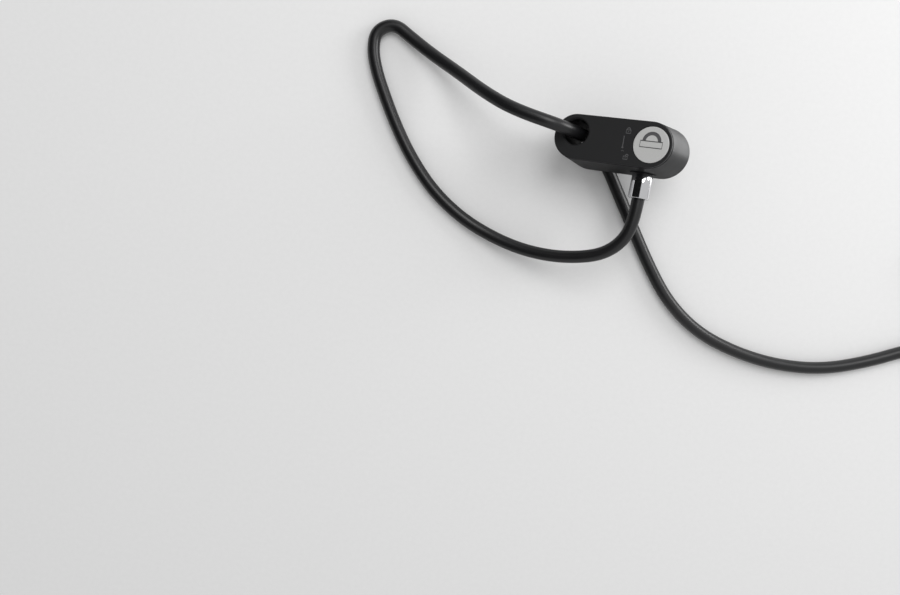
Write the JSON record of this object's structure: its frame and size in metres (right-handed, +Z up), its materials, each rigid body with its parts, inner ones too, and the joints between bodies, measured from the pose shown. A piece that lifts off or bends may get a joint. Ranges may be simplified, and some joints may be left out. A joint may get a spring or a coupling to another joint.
{
  "type": "cable lock",
  "caption": "Keyed noose cable lock: black plastic head, satin key cylinder, sheathed steel cable from a chrome plug, through the head and on to an eye.",
  "frame": {"origin": "on the floor below the middle of the lock head (with its plug, without the cable)", "axes": "+Z up; +X along the head as it lies, from its cable hole to its key cylinder; +Y from the plug's side to the other long side"},
  "size_m": [0.5106, 0.2524, 0.0676],
  "materials": {
    "face_plastic": "fine-grained black moulded plastic, flat front plate",
    "shell_plastic": "satin black moulded plastic with a soft sheen",
    "liner_plastic": "smooth black low-friction plastic",
    "zinc_casting": "bare zinc die casting",
    "plain_steel": "plain turned or stamped steel",
    "spring_steel": "bright spring steel",
    "brass_parts": "plain brass",
    "satin_face": "satin nickel plate",
    "chrome_plate": "polished chrome plate",
    "rope_steel": "crimped steel rope end",
    "soft_rubber": "soft black rubber",
    "cable_pvc": "smooth satin black sheath over steel rope",
    "tie_strap": "black woven strap with hook and loop",
    "crimp_metal": "pressed aluminium sleeve"
  },
  "bodies": {
    "lock_head": {"front_cover": "face_plastic", "body_shell": "shell_plastic", "rear_cover": "shell_plastic", "cable_liner": "liner_plastic", "lock_block": "zinc_casting", "block_cover": "plain_steel", "cylinder_sleeve": "brass_parts", "latch_spring": "spring_steel", "latch_screw": "plain_steel", "socket_seal": "soft_rubber", "cover_screws": "plain_steel", "screw_inserts": "brass_parts", "cable_noose": "cable_pvc", "cable_tail": "cable_pvc", "cable_coil": "cable_pvc", "cable_run_out": "cable_pvc", "coil_tie": "tie_strap", "eye_boot": "soft_rubber", "eye_crimp": "crimp_metal", "cable_eye": "cable_pvc"},
    "key_core": {"lock_core": "satin_face", "shutter_pin": "plain_steel", "shutter_spring": "spring_steel", "wafers": "brass_parts", "wafer_springs": "spring_steel", "core_cam": "plain_steel", "cam_clip": "spring_steel"},
    "shutter": {"keyway_shutter": "satin_face"},
    "cable_plug": {"plug_pin": "plain_steel", "plug_ferrule": "chrome_plate", "rope_end": "rope_steel"}
  },
  "joints": [
    {"name": "core_turn", "type": "hinge", "parent": "lock_head", "child": "key_core", "pos_m": [0.01182, 0.00735, 0.06177], "axis": [-0.4833, 0, 0.8755], "range_deg": [0, 90], "deforming": ["latch_spring"]},
    {"name": "shutter_swing", "type": "hinge", "parent": "key_core", "child": "shutter", "pos_m": [0.0123, 0.00845, 0.0609], "axis": [0.8755, 0, 0.4833], "range_deg": [0, 75], "stiffness_Nm_per_rad": 0.0005, "springref_deg": -17.19, "deforming": ["shutter_spring"]},
    {"name": "plug_release", "type": "slide", "parent": "lock_head", "child": "cable_plug", "axis": [0, -1, 0], "range_m": [0, 0.016], "deforming": ["cable_noose"]}
  ]
}
